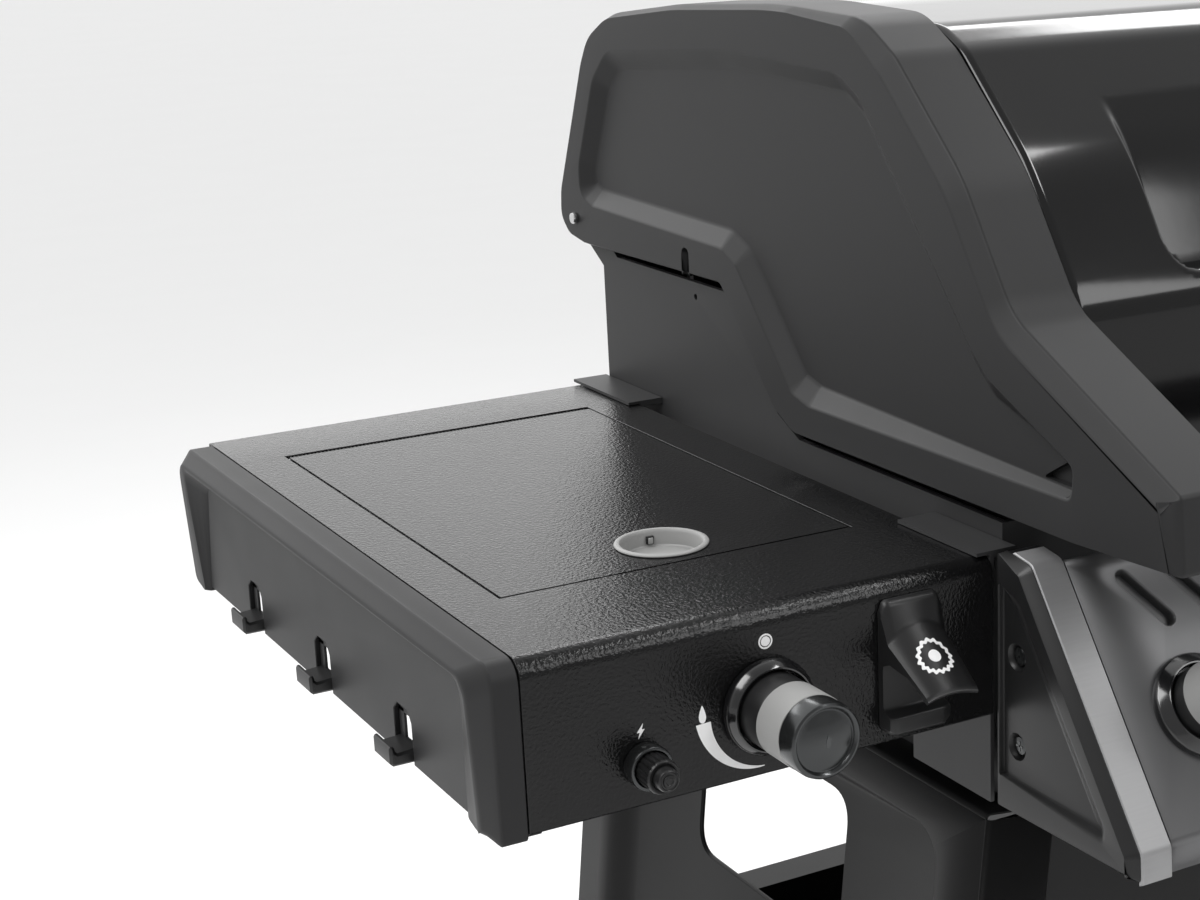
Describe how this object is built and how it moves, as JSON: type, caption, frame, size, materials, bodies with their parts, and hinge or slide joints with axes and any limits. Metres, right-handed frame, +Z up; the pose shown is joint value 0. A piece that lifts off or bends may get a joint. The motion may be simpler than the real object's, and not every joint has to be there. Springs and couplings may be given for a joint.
{
  "type": "gas barbecue grill",
  "caption": "Gas barbecue grill on a splayed cart, with a hinged hood, sloping control panel, flush-lidded side burner shelf, plain shelf and tool hooks.",
  "frame": {"origin": "on the ground, under the middle of the bounding box", "axes": "+X to the right as the cook sees it, +Y to the back, +Z up"},
  "size_m": [1.306, 0.712, 1.1756],
  "materials": {
    "textured_coat": "textured semi-gloss powder coat",
    "satin_coat": "satin coat",
    "gloss_enamel": "gloss enamel",
    "panel_paint": "satin metallic paint",
    "satin_plastic": "satin",
    "gloss_plastic": "gloss",
    "pale_plastic": "matte",
    "cart_paint": "satin powder coat",
    "steel": "brushed",
    "cast_iron": "rough cast",
    "ceramic_tile": "unglazed",
    "wheel_rubber": "matte"
  },
  "bodies": {
    "grill": {"axle": "steel", "bottle_opener": "satin_plastic", "bottom_shelf": "cart_paint", "bracket_left_front": "satin_coat", "bracket_left_rear": "satin_coat", "bracket_right_front": "satin_coat", "bracket_right_rear": "satin_coat", "burner_lid_rod": "steel", "burner_tube_1": "steel", "burner_tube_2": "steel", "burner_tube_3": "steel", "cart_back_panel": "cart_paint", "cart_front_rail": "cart_paint", "cart_side_left": "cart_paint", "cart_side_right": "cart_paint", "control_end_left": "satin_plastic", "control_end_right": "satin_plastic", "control_panel": "panel_paint", "cooking_grate_left": "cast_iron", "cooking_grate_right": "cast_iron", "firebox": "satin_coat", "foot_left": "wheel_rubber", "foot_right": "wheel_rubber", "gas_manifold": "steel", "heat_shield_1": "steel", "heat_shield_2": "steel", "heat_shield_3": "steel", "hinge_pin_left": "steel", "hinge_pin_right": "steel", "igniter_collar": "satin_plastic", "knob_bezel_1": "gloss_plastic", "knob_bezel_2": "gloss_plastic", "knob_bezel_3": "gloss_plastic", "shelf_left_cap": "satin_plastic", "shelf_left_top": "textured_coat", "shelf_right_cap": "satin_plastic", "shelf_right_top": "textured_coat", "side_burner_bowl": "steel", "side_burner_grate": "cast_iron", "side_burner_tile": "ceramic_tile", "side_knob_bezel": "gloss_plastic", "warming_rack": "steel"},
    "lid": {"lid_hood": "gloss_enamel", "lid_end_left": "satin_coat", "lid_end_right": "satin_coat", "lid_handle": "satin_coat", "thermometer_case": "steel"},
    "needle": {"thermometer_needle": "pale_plastic"},
    "burner_lid": {"burner_lid": "textured_coat", "burner_lid_pull": "pale_plastic"},
    "knob_1": {"burner_knob_1": "gloss_plastic"},
    "knob_2": {"burner_knob_2": "gloss_plastic"},
    "knob_3": {"burner_knob_3": "gloss_plastic"},
    "side_knob": {"side_burner_knob": "gloss_plastic"},
    "igniter": {"igniter_button": "satin_plastic"},
    "door_left": {"door_left": "cart_paint"},
    "door_right": {"door_right": "cart_paint"},
    "wheel_left": {"wheel_left": "wheel_rubber"},
    "wheel_right": {"wheel_right": "wheel_rubber"},
    "drip_tray": {"drip_tray": "steel"}
  },
  "joints": [
    {"name": "lid_hinge", "type": "hinge", "parent": "grill", "child": "lid", "pos_m": [0, 0.326, 1.007], "axis": [-1, 0, 0], "range_deg": [0, 90]},
    {"name": "needle_turn", "type": "hinge", "parent": "lid", "child": "needle", "pos_m": [0, -0.1599, 1.08169], "axis": [0, 0.87, -0.493], "range_deg": [0, 270]},
    {"name": "burner_lid_hinge", "type": "hinge", "parent": "grill", "child": "burner_lid", "pos_m": [-0.484, 0.2252, 0.8893], "axis": [-1, 0, 0], "range_deg": [0, 95]},
    {"name": "knob_1_turn", "type": "hinge", "parent": "grill", "child": "knob_1", "pos_m": [-0.262, -0.29894, 0.81044], "axis": [0, -0.8131, 0.5821], "range_deg": [0, 180]},
    {"name": "knob_2_turn", "type": "hinge", "parent": "grill", "child": "knob_2", "pos_m": [0, -0.29894, 0.81044], "axis": [0, -0.8131, 0.5821], "range_deg": [0, 180]},
    {"name": "knob_3_turn", "type": "hinge", "parent": "grill", "child": "knob_3", "pos_m": [0.262, -0.29894, 0.81044], "axis": [0, -0.8131, 0.5821], "range_deg": [0, 180]},
    {"name": "side_knob_turn", "type": "hinge", "parent": "grill", "child": "side_knob", "pos_m": [-0.4868, -0.2174, 0.8362], "axis": [0, -1, 0], "range_deg": [0, 180]},
    {"name": "igniter_push", "type": "slide", "parent": "grill", "child": "igniter", "axis": [0, 1, 0], "range_m": [0, 0.004], "stiffness_N_per_m": 300},
    {"name": "door_left_hinge", "type": "hinge", "parent": "grill", "child": "door_left", "pos_m": [-0.28956, -0.2066, 0.708], "axis": [-0.1142, 0, -0.9935], "range_deg": [0, 100]},
    {"name": "door_right_hinge", "type": "hinge", "parent": "grill", "child": "door_right", "pos_m": [0.28956, -0.2066, 0.708], "axis": [-0.1142, 0, 0.9935], "range_deg": [0, 100]},
    {"name": "wheel_left_spin", "type": "hinge", "parent": "grill", "child": "wheel_left", "pos_m": [-0.372, 0.22, 0.075], "axis": [1, 0, 0], "continuous": true},
    {"name": "wheel_right_spin", "type": "hinge", "parent": "grill", "child": "wheel_right", "pos_m": [0.372, 0.22, 0.075], "axis": [1, 0, 0], "continuous": true},
    {"name": "drip_tray_slide", "type": "slide", "parent": "grill", "child": "drip_tray", "axis": [0, 1, 0], "range_m": [0, 0.35]}
  ]
}
